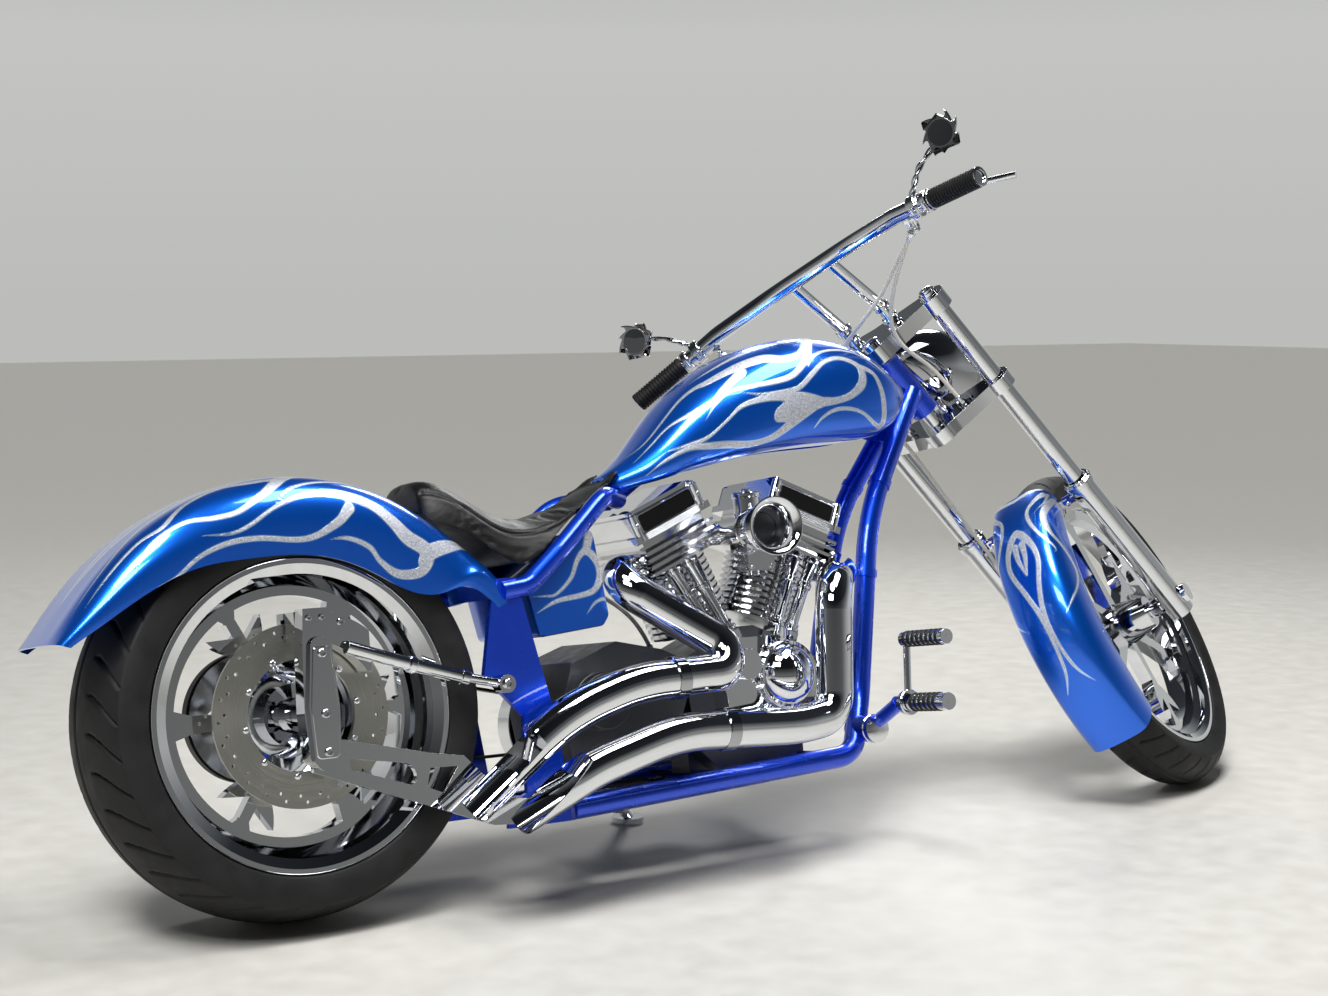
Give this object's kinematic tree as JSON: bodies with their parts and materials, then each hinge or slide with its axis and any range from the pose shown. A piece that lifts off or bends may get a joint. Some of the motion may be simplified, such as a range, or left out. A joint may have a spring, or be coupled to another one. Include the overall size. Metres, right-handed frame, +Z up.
{
  "type": "motorcycle",
  "caption": "Long low chopper with a raked fork, wide rear tyre, flamed tank and fenders and an open vee-twin engine, parked on its side stand.",
  "frame": {"origin": "on the ground, under the middle of the parked machine's bounding box", "axes": "+X forward along the machine, +Y to the rider's left, +Z up from the ground"},
  "size_m": [2.5705, 0.8308, 1.3398],
  "materials": {
    "frame_blue": "gloss deep blue paint",
    "candy_paint": "candy blue paint with pale silver flames under clear lacquer",
    "polished_metal": "polished plate",
    "chrome": "mirror chrome",
    "engine_alloy": "polished cast alloy",
    "disc_steel": "ground brake disc",
    "tyre": "matt black tyre rubber",
    "belt_rubber": "black toothed belt",
    "grip_rubber": "satin black rubber",
    "seat_leather": "smooth black leather",
    "hose_white": "off-white sleeve"
  },
  "bodies": {
    "rear_wheel": {"rear_tyre": "tyre", "rear_rim": "chrome", "rear_disc": "disc_steel", "rear_pulley": "engine_alloy"},
    "front_wheel": {"front_tyre": "tyre", "front_rim": "chrome", "front_disc": "disc_steel"},
    "chassis": {"frame_backbone": "frame_blue", "frame_side_plates": "frame_blue", "swing_arms": "polished_metal", "rear_axle": "chrome", "axle_carrier": "polished_metal", "rear_caliper": "chrome", "shock_absorbers": "chrome", "rear_fender": "candy_paint", "seat": "seat_leather", "fuel_tank": "candy_paint", "oil_tank": "candy_paint", "oil_line": "hose_white", "crankcase": "engine_alloy", "cylinders": "engine_alloy", "cylinder_heads": "engine_alloy", "rocker_boxes": "chrome", "pushrod_tubes": "chrome", "cam_cover": "chrome", "carburettor": "engine_alloy", "intake_horn": "chrome", "gearbox": "engine_alloy", "primary_cover": "chrome", "drive_belt": "belt_rubber", "exhaust_pipes": "chrome", "foot_pegs": "grip_rubber", "foot_levers": "chrome", "frame_cradle": "frame_blue"},
    "steering": {"front_fender": "candy_paint", "headlight": "chrome", "fork_trees": "chrome", "fork_tubes": "chrome", "fork_sliders": "chrome", "front_axle": "chrome", "front_caliper": "chrome", "handlebar": "chrome", "grips": "grip_rubber", "hand_levers": "chrome", "mirrors": "chrome", "brake_hose": "hose_white", "control_cables": "hose_white"},
    "side_stand": {"side_stand": "chrome"}
  },
  "joints": [
    {"name": "steering_head", "type": "hinge", "parent": "chassis", "child": "steering", "pos_m": [0.44006, 0.05464, 0.82079], "axis": [-0.659, 0.1358, 0.7398], "range_deg": [-68.6, 0]},
    {"name": "rear_wheel_spin", "type": "hinge", "parent": "chassis", "child": "rear_wheel", "pos_m": [-0.90383, -0.03602, 0.3268], "axis": [0, 0.9836, -0.1805], "continuous": true},
    {"name": "front_wheel_spin", "type": "hinge", "parent": "steering", "child": "front_wheel", "pos_m": [0.96217, -0.0014, 0.3094], "axis": [-0.4238, 0.7455, -0.5144], "continuous": true},
    {"name": "side_stand_hinge", "type": "hinge", "parent": "chassis", "child": "side_stand", "pos_m": [-0.20697, 0.08046, 0.06403], "axis": [0.1338, 0.343, 0.9298], "range_deg": [0, 121.8]}
  ]
}
